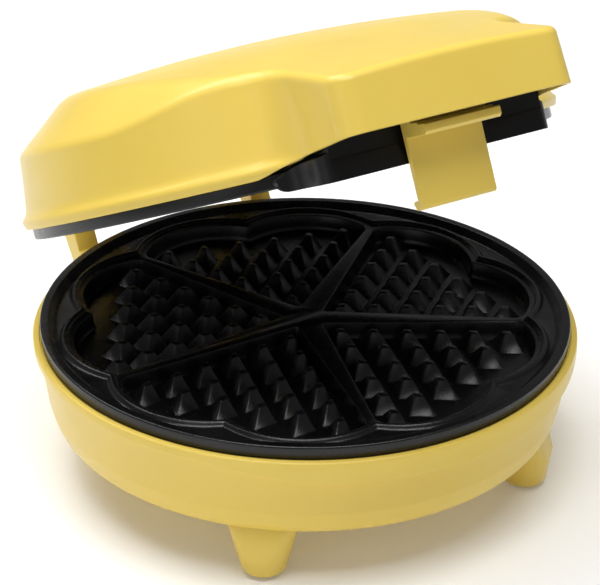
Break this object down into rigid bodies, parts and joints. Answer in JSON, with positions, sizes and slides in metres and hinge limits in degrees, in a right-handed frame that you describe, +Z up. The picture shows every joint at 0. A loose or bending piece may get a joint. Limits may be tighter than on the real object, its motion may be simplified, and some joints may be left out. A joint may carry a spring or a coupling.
{
  "type": "waffle maker",
  "caption": "Round tabletop waffle maker with a hinged lid standing part open, heart-shaped moulds, a front handle with a swinging clip, and conical feet.",
  "frame": {"origin": "centre of the bounding box at the level the feet stand on, with the lid part open as stored", "axes": "+Z up, +Y towards the hinge at the rear, +X to the right of someone facing the handle"},
  "size_m": [0.2014, 0.2174, 0.1907],
  "materials": {
    "yellow_plastic": "satin",
    "black_plastic": "satin",
    "coated_aluminium": "black non-stick coating",
    "bare_steel": "plain",
    "sheet_metal": "plain",
    "foot_rubber": "matt",
    "ceramic": "matt",
    "lead_sleeve": "woven"
  },
  "bodies": {
    "base": {"base_housing": "yellow_plastic", "foot_pad_front_left": "foot_rubber", "foot_pad_front_right": "foot_rubber", "foot_pad_rear_left": "foot_rubber", "foot_pad_rear_right": "foot_rubber", "lower_plate": "coated_aluminium", "lower_heating_element": "bare_steel", "lower_reflector": "sheet_metal", "lower_plate_nut_1": "bare_steel", "lower_plate_nut_2": "bare_steel", "lower_plate_nut_3": "bare_steel", "base_screw_1": "bare_steel", "base_screw_2": "bare_steel", "base_screw_3": "bare_steel", "thermostat": "ceramic", "thermal_fuse": "ceramic", "terminal_block": "ceramic", "heater_lead_left": "lead_sleeve", "heater_lead_right": "lead_sleeve", "cord_inlet": "black_plastic", "hinge_pin_left": "bare_steel", "hinge_pin_right": "bare_steel"},
    "lid": {"lid_housing": "yellow_plastic", "upper_plate": "coated_aluminium", "upper_heating_element": "bare_steel", "upper_reflector": "sheet_metal", "upper_plate_nut_1": "bare_steel", "upper_plate_nut_2": "bare_steel", "upper_plate_nut_3": "bare_steel", "lid_screw_1": "bare_steel", "lid_screw_2": "bare_steel", "lid_screw_3": "bare_steel", "handle_liner": "black_plastic", "liner_screw_left": "bare_steel", "liner_screw_right": "bare_steel", "clip_pin": "bare_steel"},
    "clip": {"latch_clip": "yellow_plastic"}
  },
  "joints": [
    {"name": "lid_hinge", "type": "hinge", "parent": "base", "child": "lid", "pos_m": [0, 0.1027, 0.0644], "axis": [-1, 0, 0], "range_deg": [-26.7, 73]},
    {"name": "clip_pivot", "type": "hinge", "parent": "lid", "child": "clip", "pos_m": [0, -0.08654, 0.16976], "axis": [-1, 0, 0], "range_deg": [-4, 9]}
  ]
}
